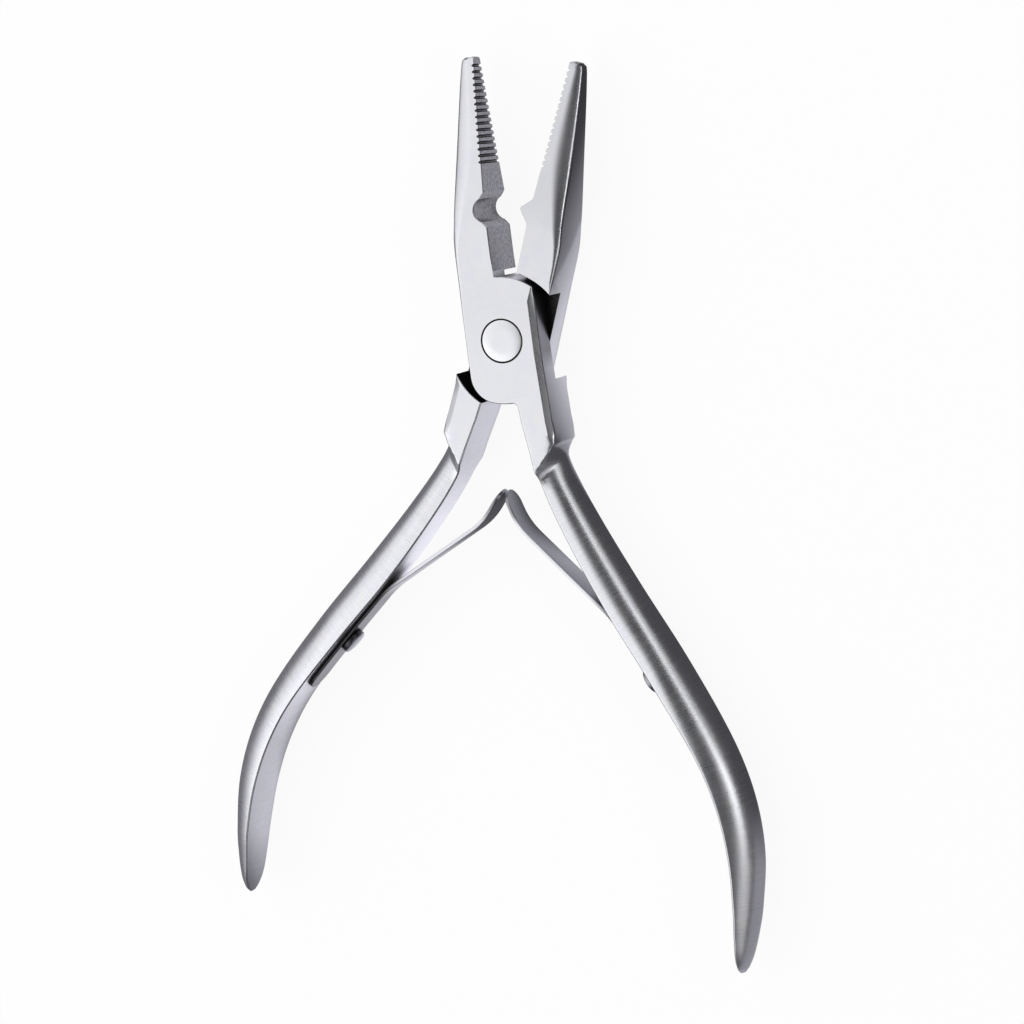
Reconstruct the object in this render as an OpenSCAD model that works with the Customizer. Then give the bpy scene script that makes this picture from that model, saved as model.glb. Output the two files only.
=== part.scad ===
// Lap-jointed crimping pliers with serrated jaws, a half-round nest and two leaf springs.
// Millimetres, +Z up. Origin on the pivot axis, in the plane the pliers lie on.
// The jaws point to +Y and the halves are drawn sprung open.
// Both halves are one forging: the rear half is the front half turned over about Y.

/* [Joint] */
// thickness of the forging through the lap joint
joint_t = 9.5; // [8:0.1:12]
// angle between the two halves at rest
open_angle = 20.8; // [12:0.1:26]
// half width of the lap plate
plate_w = 5.93; // [5:0.01:8]
// radius of the round ends of the lap plate
lap_r = 9.7; // [8.5:0.05:12]
// radius of the seat above the plate, cut in the jaw of the other half
seat_r = 10.55; // [10.2:0.05:13]
// radius of the curved end of a shoulder, beside the other half's plate
recess_r = 10.2; // [10.1:0.05:10.6]
// gap between the two lap plates
lap_gap = 0.06; // [0.04:0.01:0.2]
// radius of the pivot rivet
rivet_r = 3.2; // [2:0.05:4.5]
// radial clearance of the rivet in its bores
rivet_clear = 0.05; // [0.01:0.01:0.1]

/* [Jaws] */
// distance from the pivot to the jaw tips
jaw_l = 43; // [36:0.5:55]
// width of one jaw at its tip
tip_w = 2.1; // [1.5:0.1:3.5]
// thickness of a jaw at its tip
tip_t = 2.5; // [2:0.1:5]
// distance from the pivot to where the jaws start to get thinner
taper_y = 20; // [14:0.5:26]
// width of the dull corner on the jaw tips
tip_corner = 0.5; // [0.2:0.05:1]

/* [Grip] */
// number of grooves across each jaw
groove_n = 16; // [8:1:20]
// distance between two grooves
groove_pitch = 0.97; // [0.7:0.01:1.4]
// distance from the pivot to the lowest groove
groove_y = 27.1; // [25:0.1:30]
// depth of a groove
groove_d = 0.32; // [0.15:0.01:0.5]
// half width of a groove at the surface
groove_w = 0.27; // [0.15:0.01:0.45]
// distance from the pivot to the middle of the nest
nest_y = 19.9; // [16:0.1:24]
// radius of the half-round nest
nest_r = 1.9; // [1.2:0.05:2.5]
// half width of the flared mouth of the nest
nest_mouth = 2.6; // [2:0.05:3.4]
// height of the tooth that closes into the nest
tooth_h = 1.6; // [0.8:0.05:1.8]

/* [Handles] */
// number of rings along one handle
handle_rings = 30; // [16:1:44]
// number of facets round the back of a handle
handle_sides = 14; // [8:2:20]
// distance from the pivot to the bottom corner of a shoulder
shoulder_y = 15.6; // [13:0.1:18]
// half width of a shoulder at that corner
shoulder_w = 6.4; // [6:0.05:7.5]

/* [Springs] */
// width of a leaf spring
leaf_w = 5; // [3:0.1:6.5]
// thickness of a leaf spring
leaf_t = 0.6; // [0.4:0.05:1]
// distance from the pivot, along the jaws, to the spring rivets
stud_y = 53.9; // [50:0.1:58]
// radius of a spring rivet's head
stud_head_r = 2.1; // [1.6:0.05:2.4]
// height of a spring rivet's head
stud_head_h = 0.95; // [0.6:0.05:1.6]
// radius of a spring rivet's shank
stud_r = 1.2; // [0.8:0.05:1.6]
// length of the shank inside the handle
stud_l = 2.6; // [1.5:0.1:3.2]

/* [Hidden] */
half_t = joint_t / 2;
bore_r = rivet_r + rivet_clear;
steel = [0.78, 0.78, 0.80];
bright = [0.88, 0.88, 0.90];
dark = [0.36, 0.36, 0.39];

// Centre of the recess beside a plate's end.
recess_at = [-1.8, -0.4];

// Jaw outline: distance from the pivot, then the width there.
jaw_rows = [[9, plate_w], [15.5, plate_w - 0.03], [19, 5.45], [28, 4.38], [38, 2.95], [jaw_l, tip_w]];

// Handle: position along Y, then where the palm-side face is, its depth and its half width.
handle_rows = [
    [-100.7, 24.15, 0.7, 0.9],
    [-100, 24.15, 1.25, 2],
    [-98, 24.3, 2.1, 3.25],
    [-94, 24.8, 2.95, 4.05],
    [-90, 25.3, 3.5, 4.5],
    [-82, 25.6, 4.5, half_t],
    [-74, 24.7, 4.95, half_t],
    [-66, 22.35, 5.1, half_t],
    [-54, 16.7, 5.4, 4.6],
    [-42, 10.6, 5.4, 4.2],
    [-30, 5.4, 4.9, 3.8],
    [-22, 2.75, 4.4, 3.55],
    [-15, 1.85, 3.9, 3.4]
];
handle_top = handle_rows[len(handle_rows) - 1][0];
handle_end = handle_rows[0][0];

// Smooth curve through one column of a table whose first column rises.
function row_at(t, v, i = 0) = i >= len(t) - 2 || v < t[i + 1][0] ? i : row_at(t, v, i + 1);
function slope(t, i, c) =
    let (a = max(i - 1, 0), b = min(i + 1, len(t) - 1)) (t[b][c] - t[a][c]) / (t[b][0] - t[a][0]);
function curve(t, v, c) =
    let (i = row_at(t, v), w = t[i + 1][0] - t[i][0], s = (v - t[i][0]) / w)
    (2 * s * s * s - 3 * s * s + 1) * t[i][c] + (s * s * s - 2 * s * s + s) * w * slope(t, i, c)
    + (3 * s * s - 2 * s * s * s) * t[i + 1][c] + (s * s * s - s * s) * w * slope(t, i + 1, c);

// Palm-side face of a handle: a point on it, and its direction away from the palm.
function face_at(y) = [curve(handle_rows, y, 1), y];
function face_out(y) =
    let (d = 0.05, k = (face_at(y + d)[0] - face_at(y - d)[0]) / (2 * d)) [1, -k] / sqrt(1 + k * k);

// Outline of a lap plate, with its lower outer corner rounded.
module plate_outline() {
    round_r = 4.5;
    cx = round_r - plate_w;
    cy = -sqrt(pow(lap_r - round_r, 2) - cx * cx);
    intersection() {
        circle(r = lap_r, $fn = 96);
        union() {
            translate([-plate_w, cy]) square([2 * plate_w, 2 * lap_r]);
            translate([cx, -2 * lap_r]) square([plate_w - cx, 3 * lap_r]);
            translate([cx, cy]) circle(r = round_r, $fn = 64);
        }
    }
}

// Outline of one jaw, left of the grip line.
module jaw_outline() {
    side = [for (y = [9 : 1 : jaw_l - tip_corner]) [-curve(jaw_rows, y, 1), y]];
    polygon(concat(
        [[0, 0], [-plate_w, 0]],
        side,
        [[-tip_w - 0.07, jaw_l - tip_corner], [tip_corner - tip_w, jaw_l], [0, jaw_l]]
    ));
}

// Outline of the shoulder that carries a handle, below the plate on the other side.
module shoulder_outline() {
    fillet = 0.7;
    difference() {
        polygon([
            [plate_w - 0.08, 0], [shoulder_w, -shoulder_y], [shoulder_w - 0.25, -shoulder_y - 0.65],
            [4.3, -shoulder_y - 2.45], [3.6, -shoulder_y - 3.4], [3.1, -shoulder_y - 4.6],
            [2.15, -shoulder_y - 3.2], [1.6, -15], [1.15, -10.4], [0.45, -lap_r], [0.4, -6]
        ]);
        translate([0.45, -lap_r - fillet]) circle(r = fillet, $fn = 40);
    }
}

// Wedges that thin a jaw towards its tip, front and back.
module taper_cuts() {
    over = 3;
    reach = jaw_l + 1;
    drop = (half_t - tip_t / 2) * (reach - taper_y) / (jaw_l - taper_y);
    for (side = [-1, 1])
        mirror([0, 0, side < 0 ? 1 : 0])
            rotate([90, 0, -90])
                linear_extrude(height = 4 * plate_w, center = true)
                    polygon([
                        [-taper_y, half_t], [-reach, half_t - drop],
                        [-reach, half_t + over], [-taper_y, half_t + over]
                    ]);
}

// Grooves across the grip face.
module grooves() {
    for (i = [0 : groove_n - 1])
        translate([0, groove_y + i * groove_pitch, 0])
            linear_extrude(height = 2 * joint_t, center = true)
                polygon([[0.1, -groove_w * 1.3], [-groove_d, 0], [0.1, groove_w * 1.3]]);
}

// Half-round nest with a flared mouth, cut into the grip face.
module nest() {
    linear_extrude(height = 2 * joint_t, center = true) {
        translate([0, nest_y]) circle(r = nest_r, $fn = 64);
        polygon([
            [0.1, nest_y + nest_mouth + 0.1], [-0.7, nest_y + 1.75],
            [-0.7, nest_y - 1.75], [0.1, nest_y - nest_mouth - 0.1]
        ]);
    }
}

// Tooth on the other jaw, which closes into the nest.
module tooth() {
    linear_extrude(height = joint_t, center = true)
        polygon([
            [-1, nest_y + 2.2], [0, nest_y + 2.2], [tooth_h, nest_y + 0.5], [tooth_h - 0.06, nest_y + 0.2],
            [tooth_h * 0.56, nest_y - 0.6], [tooth_h * 0.22, nest_y - 1.25], [0, nest_y - 1.95],
            [-1, nest_y - 1.95]
        ]);
}

// One ring of a handle: the flat palm-side face and the rounded back.
function handle_ring(y) =
    let (p = face_at(y), n = face_out(y), d = curve(handle_rows, y, 2))
    let (w = min(half_t, curve(handle_rows, y, 3)))
    [for (i = [0 : handle_sides])
        let (a = 180 * i / handle_sides - 90)
        [p[0] + n[0] * d * cos(a), p[1] + n[1] * d * cos(a), w * sin(a)]];

// Where each ring of a handle is: they stand closer together towards its end.
function ring_y(i) = handle_end + (handle_top - handle_end) * pow(1 - i / (handle_rings - 1), 1.4);

// Forged handle, curved to the hand.
module handle() {
    m = handle_sides + 1;
    rings = [for (i = [0 : handle_rings - 1]) each handle_ring(ring_y(i))];
    walls = [for (i = [0 : handle_rings - 2], j = [0 : m - 2]) each [
        [(i + 1) * m + j + 1, i * m + j + 1, i * m + j],
        [(i + 1) * m + j, (i + 1) * m + j + 1, i * m + j]
    ]];
    palm = [for (i = [0 : handle_rings - 2]) each [
        [(i + 1) * m + m - 1, (i + 1) * m, i * m],
        [i * m + m - 1, (i + 1) * m + m - 1, i * m]
    ]];
    first = [for (j = [1 : m - 2]) [0, j, j + 1]];
    last = [for (j = [1 : m - 2]) [for (k = [j + 1, j, 0]) (handle_rings - 1) * m + k]];
    polyhedron(points = rings, faces = concat(walls, palm, first, last));
}

// Places a child on the palm-side face of a handle, at the spring rivet, with +Z into the handle.
module at_stud() {
    p = face_at(-stud_y);
    n = face_out(-stud_y);
    translate([p[0], p[1], 0]) rotate([0, 90, atan2(n[1], n[0])]) children();
}

// One forged half, closed, with its jaw on the left and its plate in front of the other's.
module forging(nested) {
    difference() {
        union() {
            difference() {
                translate([0, 0, lap_gap / 2]) linear_extrude(height = half_t - lap_gap / 2) {
                    jaw_outline();
                    plate_outline();
                    shoulder_outline();
                }
                taper_cuts();
            }
            difference() {
                translate([0, 0, -half_t]) linear_extrude(height = half_t + 1) {
                    difference() {
                        jaw_outline();
                        circle(r = seat_r, $fn = 96);
                    }
                    difference() {
                        shoulder_outline();
                        translate(recess_at) circle(r = recess_r, $fn = 96);
                    }
                }
                taper_cuts();
            }
            handle();
            if (!nested) tooth_on_jaw();
        }
        cylinder(r = bore_r, h = 3 * joint_t, center = true, $fn = 96);
        grooves();
        if (nested) nest();
        at_stud() cylinder(r = stud_r + rivet_clear, h = 2 * stud_l + 0.2, center = true, $fn = 48);
    }
}

// The tooth, thinned like the jaw that carries it.
module tooth_on_jaw() {
    difference() {
        tooth();
        taper_cuts();
    }
}

// Middle line of a leaf spring: along the handle, a first bend, the free length and the tip.
leaf_off = leaf_t / 2 + 0.04;
leaf_tail_y = -63.6;
leaf_leave_y = -44;
leaf_bend = [-2.35, -28.7];
leaf_tip = [-4.05, -23.3];
function on_handle(y) = face_at(y) - leaf_off * face_out(y);
function rounded(a, b, c, cut, n = 6) =
    let (p = b + cut * (a - b) / norm(a - b), q = b + cut * (c - b) / norm(c - b))
    [for (i = [0 : n]) let (s = i / n) (1 - s) * (1 - s) * p + 2 * s * (1 - s) * b + s * s * q];
leaf_line = concat(
    [for (y = [leaf_tail_y : 2.45 : leaf_leave_y - 3]) on_handle(y)],
    rounded(on_handle(leaf_leave_y - 4), on_handle(leaf_leave_y), leaf_bend, 2),
    rounded(on_handle(leaf_leave_y), leaf_bend, leaf_tip, 2.4),
    [leaf_tip]
);
function left_of(a, b) = let (d = b - a) [-d[1], d[0]] / norm(d);
function side_line(p, off) = [for (i = [0 : len(p) - 1])
    let (n = left_of(p[max(i - 1, 0)], p[min(i + 1, len(p) - 1)])) p[i] + off * n];

// Leaf spring as one strip on edge, with both ends rounded and a hole for its rivet.
module leaf() {
    one = side_line(leaf_line, leaf_t / 2);
    other = side_line(leaf_line, -leaf_t / 2);
    n = len(leaf_line) - 1;
    difference() {
        linear_extrude(height = leaf_w, center = true)
            polygon(concat(one, [for (i = [n : -1 : 0]) other[i]]));
        leaf_end(leaf_tip, leaf_line[n - 1]);
        leaf_end(leaf_line[0], leaf_line[1]);
        at_stud() cylinder(r = stud_r + rivet_clear, h = 4, center = true, $fn = 48);
    }
}

// Cuts the corners off the end of a leaf at point a, which comes from point b.
module leaf_end(a, b) {
    r = leaf_w / 2;
    translate([a[0], a[1], 0]) rotate([0, 0, atan2(a[1] - b[1], a[0] - b[0])])
        difference() {
            translate([-r, -r, -leaf_w]) cube([2 * r, 2 * r, 2 * leaf_w]);
            translate([-r, 0, 0]) rotate([90, 0, 0]) cylinder(r = r, h = 3 * r, center = true, $fn = 64);
            translate([-3 * r, -2 * r, -leaf_w]) cube([2 * r, 4 * r, 2 * leaf_w]);
        }
}

// Spring rivet: a round head with a dull rim, and a shank into the handle.
module stud() {
    rim = 0.3;
    base = leaf_t + 0.08;
    rotate_extrude($fn = 48) polygon([
        [0, stud_l], [stud_r, stud_l], [stud_r, -base], [stud_head_r, -base],
        [stud_head_r, rim - base - stud_head_h], [stud_head_r - rim, -base - stud_head_h], [0, -base - stud_head_h]
    ]);
}

// The two halves at rest: the front one turned one way, the other turned over and turned back.
module front_place() {
    translate([0, 0, half_t]) rotate([0, 0, open_angle / 2]) children();
}
module rear_place() {
    translate([0, 0, half_t]) rotate([0, 0, -open_angle / 2]) rotate([0, 180, 0]) children();
}

// Front half: nested jaw on the left, handle on the right.
module front_half() { color(steel) front_place() forging(nested = true); }

// Rear half: toothed jaw on the right, handle on the left.
module rear_half() { color(steel) rear_place() forging(nested = false); }

// Flush rivet that the halves turn on.
module pivot_rivet() { color(bright) cylinder(r = rivet_r, h = joint_t, $fn = 96); }

// Leaf spring on the right handle.
module right_spring() { color(dark) front_place() leaf(); }

// Leaf spring on the left handle.
module left_spring() { color(dark) rear_place() leaf(); }

// Rivet that holds the right leaf spring.
module right_spring_rivet() { color(bright) front_place() at_stud() stud(); }

// Rivet that holds the left leaf spring.
module left_spring_rivet() { color(bright) rear_place() at_stud() stud(); }

front_half();
rear_half();
pivot_rivet();
right_spring();
left_spring();
right_spring_rivet();
left_spring_rivet();
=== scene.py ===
import math

import bmesh
import bpy
from mathutils import Matrix, Vector

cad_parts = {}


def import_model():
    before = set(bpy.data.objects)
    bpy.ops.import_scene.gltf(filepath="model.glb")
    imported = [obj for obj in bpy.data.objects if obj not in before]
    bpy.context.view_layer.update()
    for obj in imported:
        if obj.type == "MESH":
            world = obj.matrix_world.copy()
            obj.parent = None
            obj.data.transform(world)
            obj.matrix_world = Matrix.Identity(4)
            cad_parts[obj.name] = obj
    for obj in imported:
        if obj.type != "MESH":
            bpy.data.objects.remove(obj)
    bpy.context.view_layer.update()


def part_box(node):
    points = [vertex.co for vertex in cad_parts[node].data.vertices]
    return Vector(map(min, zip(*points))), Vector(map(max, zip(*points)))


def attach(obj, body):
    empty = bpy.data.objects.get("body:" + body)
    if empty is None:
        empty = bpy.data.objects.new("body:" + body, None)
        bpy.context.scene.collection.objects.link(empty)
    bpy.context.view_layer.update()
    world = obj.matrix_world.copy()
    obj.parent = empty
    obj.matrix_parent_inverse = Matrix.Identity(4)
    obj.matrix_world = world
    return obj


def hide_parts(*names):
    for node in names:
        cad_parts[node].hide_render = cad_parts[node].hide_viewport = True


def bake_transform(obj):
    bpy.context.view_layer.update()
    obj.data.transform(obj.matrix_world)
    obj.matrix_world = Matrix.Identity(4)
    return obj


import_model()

# Everything below is worked out in millimetres in the frame of one closed half: its jaw on the
# left of the grip line, its handle on the right, and z = 0 in the middle of its thickness.
MM = 0.001


def size_of(node):
    low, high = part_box(node)
    return (high - low) / MM


RIVET_R = size_of("pivot_rivet").x / 2
HALF_T = size_of("pivot_rivet").z / 2
OPEN_ANGLE = math.radians(20.8)
LAP = 0.03          # half of the gap between the two plates

# Joint outline
PLATE_W = 5.93
LAP_R = 9.7
SEAT_R = 10.55
CORNER_R = 4.5
RECESS_AT = (-1.8, -0.4)
RECESS_R = 10.2
NECK_FILLET = 0.7
NECK_FILLET_X = 0.45
BORE_R = RIVET_R + 0.09
BORE_CHAMFER = 0.16
SAME = 1e-6         # places closer than this are the same
JAW_FOOT = 10.6     # where the jaw's own sections start
HANDLE_HEAD = -13.0  # where the handle's own sections start

# Jaw
JAW_L = 43.0
TAPER_Y = 20.0
TIP_HALF_T = 1.25
GROOVES = 16
GROOVE_PITCH = 0.97
GROOVE_Y = 27.1
GROOVE_D = 0.34
GROOVE_W = 0.25
NEST_Y = 19.9
NEST_R = 1.9
NEST_LIP = 1.75
NEST_MOUTH = 2.6
NEST_STEPS = 20
NEST_EDGE = 0.03    # drop at the nest's mouth
TIP_CORNER = 0.5    # width lost at the tip's rounded end
TIP_THIN = 0.12     # thickness lost there, on each face
# Half widths of a jaw, from the grip line to its outer side.
JAW_ROWS = [(9, 5.93), (15.5, 5.9), (19, 5.45), (28, 4.38), (38, 2.95), (43, 2.1)]
# Roundness of a jaw's outer edges: position, then how far it reaches across and down.
EDGE_ROWS = [
    (9, 0.45, 0.45), (JAW_FOOT, 0.5, 0.5), (14, 0.75, 0.5), (20, 1.8, 0.7), (28, 2.9, 1.05),
    (37, 2.1, 0.8), (43, 1.1, 0.5),
]

# Handle: position, place of the palm face, depth and half width.
HANDLE_ROWS = [
    (-100.7, 24.15, 0.7, 0.9), (-100, 24.15, 1.25, 2.0), (-98, 24.3, 2.1, 3.25), (-94, 24.8, 2.95, 4.05),
    (-90, 25.3, 3.5, 4.5), (-82, 25.6, 4.5, 4.75), (-74, 24.7, 4.95, 4.75), (-66, 22.35, 5.1, 4.75),
    (-54, 16.7, 5.4, 4.6), (-42, 10.6, 5.4, 4.2), (-30, 5.4, 4.9, 3.8), (-22, 2.75, 4.4, 3.55),
    (-15, 1.85, 3.9, 3.4),
]

# Springs
STUD_Y = -53.9
STUD_HEAD_R = 2.1
STUD_HEAD_H = 0.95
STUD_SHANK_R = 1.2
STUD_SHANK_L = 2.5  # its depth in the handle
LEAF_W = 5.0
LEAF_T = 0.6
LEAF_OFF = LEAF_T / 2 + 0.04
LEAF_TAIL_Y = -63.6
LEAF_LEAVE_Y = -44.0
LEAF_BEND = Vector((-2.35, -28.7))
LEAF_TIP = Vector((-4.05, -23.3))


# Curves ---------------------------------------------------------------------------------------

def curve(rows, at, column):
    """Smooth curve through one column of a table whose first column rises."""
    i = 0
    while i < len(rows) - 2 and at >= rows[i + 1][0]:
        i += 1

    def slope(k):
        a, b = rows[max(k - 1, 0)], rows[min(k + 1, len(rows) - 1)]
        return (b[column] - a[column]) / (b[0] - a[0])

    wide = rows[i + 1][0] - rows[i][0]
    s = (at - rows[i][0]) / wide
    return (
        (2 * s ** 3 - 3 * s ** 2 + 1) * rows[i][column]
        + (s ** 3 - 2 * s ** 2 + s) * wide * slope(i)
        + (3 * s ** 2 - 2 * s ** 3) * rows[i + 1][column]
        + (s ** 3 - s ** 2) * wide * slope(i + 1)
    )


def step(x, low, high):
    """Smooth step from 0 at low to 1 at high."""
    t = min(max((x - low) / (high - low), 0.0), 1.0)
    return t * t * (3 - 2 * t)


def mix(a, b, t):
    return a + (b - a) * t


def arc(centre, radius, start, end, steps):
    """Points along an arc, with both ends; angles in degrees."""
    return [
        Vector((
            centre[0] + radius * math.cos(math.radians(mix(start, end, i / steps))),
            centre[1] + radius * math.sin(math.radians(mix(start, end, i / steps))),
        ))
        for i in range(steps + 1)
    ]


def face_at(y):
    """A point on the middle of a handle's palm face."""
    return Vector((curve(HANDLE_ROWS, y, 1), y))


def face_out(y):
    """The palm face's direction, into the handle."""
    d = 0.05
    along = face_at(y + d) - face_at(y - d)
    return Vector((along.y, -along.x)).normalized()


# Mesh building --------------------------------------------------------------------------------

DEEPEST_SHADE = 0.9     # painted shade in the deepest corners, of 1


class Shell:
    """Collects faces by their corners in millimetres, and joins corners that meet."""

    GRID = 500      # corners are joined on a grid of this many steps to a millimetre
    WELD = 0.003    # corners left closer than this are joined at the end

    def __init__(self):
        self.bm = bmesh.new()
        self.flow = self.bm.verts.layers.float_vector.new("flow")
        # Painted shade at each corner; at each face, a raw finish that is painted dark as shade.
        self.dark = self.bm.verts.layers.float.new("dark")
        self.raw_and_shade = self.bm.faces.layers.float.new("raw_and_shade")
        self.found = {}

    def corner(self, p, flow=None, dark=0.0):
        key = tuple(round(c * self.GRID) for c in p)
        if key not in self.found:
            self.found[key] = self.bm.verts.new(p)
            self.found[key][self.flow] = flow or p
            self.found[key][self.dark] = dark
        return self.found[key]

    def face(self, points, raw_and_shade=0.0):
        corners = []
        for p in points:
            v = self.corner(p)
            if v not in corners:
                corners.append(v)
        if len(corners) > 2 and not self.bm.faces.get(corners):
            self.bm.faces.new(corners)[self.raw_and_shade] = raw_and_shade

    def skin(self, rings, closed=True, raw_and_shade=None):
        """Joins each ring of points to the next; the last argument gives the raw finish, painted dark as
        shade, of some of the columns.
        """
        for a, b in zip(rings, rings[1:]):
            n = len(a)
            for i in range(n if closed else n - 1):
                j = (i + 1) % n
                self.face([a[i], a[j], b[j], b[i]], (raw_and_shade or {}).get(i, 0.0))

    def mesh(self, name, place):
        """Makes the mesh, placed by a matrix in millimetres."""
        bmesh.ops.remove_doubles(self.bm, verts=self.bm.verts, dist=self.WELD)
        bmesh.ops.recalc_face_normals(self.bm, faces=self.bm.faces)
        self.bm.transform(Matrix.Scale(MM, 4) @ place)
        made = bpy.data.meshes.new(name)
        self.bm.to_mesh(made)
        self.bm.free()
        return made


def turned(profile, steps, raw_and_shade=0.0, dark_past=None):
    """A solid turned about Z from a profile of (radius, height) that starts and ends on the axis.

    Its skin past a given radius and height carries as much painted shade as a deep corner; the whole skin can
    take a raw finish painted dark as shade.
    """
    shell = Shell()
    rings = []
    for i in range(steps):
        a = 2 * math.pi * i / steps
        rings.append([(r * math.cos(a), r * math.sin(a), z) for r, z in profile])
        for (r, z), p in zip(profile, rings[-1]):
            past = dark_past and r > dark_past[0] and z > dark_past[1]
            shell.corner(p, None, DEEPEST_SHADE if past else 0.0)
    shell.skin(rings + rings[:1], closed=False, raw_and_shade={i: raw_and_shade for i in range(len(profile))})
    return shell


def rounded_rim(r, z, size, up, steps=4):
    """Profile points round the rim of a turned solid, from its wall to its face."""
    return [
        (r - size * (1 - math.cos(a)), z - up * size * (1 - math.sin(a)))
        for a in (math.pi / 2 * k / steps for k in range(steps + 1))
    ]


def add(name, mesh, material, body, stands_for, crease=32):
    """Adds a finished piece: smooth faces, sharp creases, its material and body, and hides the CAD node it
    stands for.
    """
    bm = bmesh.new()
    bm.from_mesh(mesh)
    for f in bm.faces:
        f.smooth = True
    for e in bm.edges:
        e.smooth = e.calc_face_angle(0) < math.radians(crease)
    bm.to_mesh(mesh)
    bm.free()
    obj = bpy.data.objects.new(name, mesh)
    bpy.context.scene.collection.objects.link(obj)
    mesh.materials.clear()
    mesh.materials.append(material)
    weighted = obj.modifiers.new("weighted", "WEIGHTED_NORMAL")
    weighted.keep_sharp = True
    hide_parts(stands_for)
    if body:
        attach(obj, body)
    return obj


def cut(mesh, tool):
    """The mesh with the tool's shape taken out of it."""
    pair = [bpy.data.objects.new(name, m) for name, m in (("work", mesh), ("tool", tool))]
    for obj in pair:
        bpy.context.scene.collection.objects.link(obj)
    boolean = pair[0].modifiers.new("cut", "BOOLEAN")
    boolean.operation, boolean.solver, boolean.object = "DIFFERENCE", "EXACT", pair[1]
    bpy.context.view_layer.update()
    made = bpy.data.meshes.new_from_object(pair[0].evaluated_get(bpy.context.evaluated_depsgraph_get()))
    for obj in pair:
        bpy.data.objects.remove(obj)
    return made


def front_place():
    return Matrix.Translation((0, 0, HALF_T)) @ Matrix.Rotation(OPEN_ANGLE / 2, 4, "Z")


def rear_place():
    turn = Matrix.Rotation(-OPEN_ANGLE / 2, 4, "Z") @ Matrix.Rotation(math.pi, 4, "Y")
    return Matrix.Translation((0, 0, HALF_T)) @ turn


# Jaw ------------------------------------------------------------------------------------------

ROUND = 16          # strips round one edge
SIDE_ROWS = (0.2, 0.4, 0.6, 0.8, 0.93)   # places of the corners on the jaw's outer wall, from the lap
GRIP_RAW_SHADE = 0.7    # grip face: between satin and a raw finish, with as much painted shade
GRIP_CHAMFER = 0.12     # cut off the grip face's long edges
JAW_SIDE_REFLECTION = 0.45      # painted dark reflection on a jaw's outer side
REFLECTION_SLANT = 1.15     # how far its lower end moves along the jaw for each millimetre of height

# How an edge turns from its flat face to its wall: share of the way round, and degrees.
ROUND_EDGE = [(0, 0), (1, 90)]
GROUND_EDGE = [(0, 0), (0.36, 10), (0.6, 18), (0.8, 25), (0.9, 52), (1, 90)]
BEVEL_EDGE = [(0, 26), (0.8124, 28), (0.8126, 58), (1, 80)]


def edge_steps(shape=ROUND_EDGE, share=1.0):
    """The lines along an edge, from its flat face to its wall: how far in and down each is, of 1.

    The edge is round where share is 0, and has the given shape where share is 1.
    """
    parts = 3 * ROUND
    ins, downs = [0.0], [0.0]
    for i in range(parts):
        t = (i + 0.5) / parts
        k = max(j for j in range(len(shape) - 1) if shape[j][0] <= t)
        (t0, turn0), (t1, turn1) = shape[k:k + 2]
        turn = math.radians(mix(90 * t, mix(turn0, turn1, (t - t0) / (t1 - t0)), share))
        ins.append(ins[-1] + math.cos(turn))
        downs.append(downs[-1] + math.sin(turn))
    return [(1 - ins[k] / ins[-1], downs[k] / downs[-1]) for k in range(0, parts + 1, 3)]


def jaw_width(y):
    """From the grip line to the jaw's outer side."""
    corner = TIP_CORNER * step(y, JAW_L - 0.55, JAW_L) ** 1.5
    return curve(JAW_ROWS, max(y, JAW_ROWS[0][0]), 1) - corner


def jaw_half_t(y):
    """Half thickness: flat at the joint, then thinner towards the tip, with a soft start."""
    rate = (HALF_T - TIP_HALF_T) / (JAW_L - TAPER_Y)
    soft = 2.5
    run = y - TAPER_Y
    eased = run if run > soft else (run + soft) ** 2 / (4 * soft) if run > -soft else 0.0
    return HALF_T - rate * eased - TIP_THIN * step(y, JAW_L - 0.3, JAW_L)


def nest_rows():
    """Depth of the nest along the grip face."""
    top = math.asin(NEST_LIP / NEST_R)
    turns = [mix(-top, top, i / NEST_STEPS) for i in range(NEST_STEPS + 1)]
    return (
        [(NEST_Y - NEST_MOUTH - 0.05, 0), (NEST_Y - NEST_MOUTH, -NEST_EDGE)]
        + [(NEST_Y + NEST_R * math.sin(a), -NEST_R * math.cos(a)) for a in turns]
        + [(NEST_Y + NEST_MOUTH, -NEST_EDGE), (NEST_Y + NEST_MOUTH + 0.05, 0)]
    )


def tooth_rows():
    """Height of the tooth along the grip face."""
    shape = [
        (-1.95, 0), (-1.6, 0.12), (-1.25, 0.36), (-0.9, 0.63), (-0.6, 0.9), (-0.2, 1.25), (0.15, 1.54),
        (0.3, 1.62), (0.45, 1.62), (0.6, 1.52), (1.4, 0.7), (2.1, 0.04), (2.2, 0),
    ]
    return [(NEST_Y + dy, x) for dy, x in shape]


def groove_rows():
    """Depth of the grooves along the grip face."""
    shape = [(-1, 0), (-0.6, 0.7), (-0.25, 1), (0.25, 1), (0.6, 0.7), (1, 0)]
    return [
        (GROOVE_Y + i * GROOVE_PITCH + dy * GROOVE_W, -deep * GROOVE_D)
        for i in range(GROOVES)
        for dy, deep in shape
    ]


def grip_line(nested):
    """Places along the grip face, with how far it stands out there, from the foot to the tip."""
    shape = (nest_rows() if nested else tooth_rows()) + groove_rows()
    shape += [(JAW_L - 0.35, 0), (JAW_L - 0.15, -0.06), (JAW_L - 0.04, -0.18), (JAW_L, -0.32)]
    plain = [JAW_FOOT + 0.6 * i for i in range(40)]
    plain = [y for y in plain if y < shape[0][0] - 0.2 or NEST_Y + 2.9 < y < GROOVE_Y - 0.4]
    return sorted([(y, 0.0) for y in plain] + shape)


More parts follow.
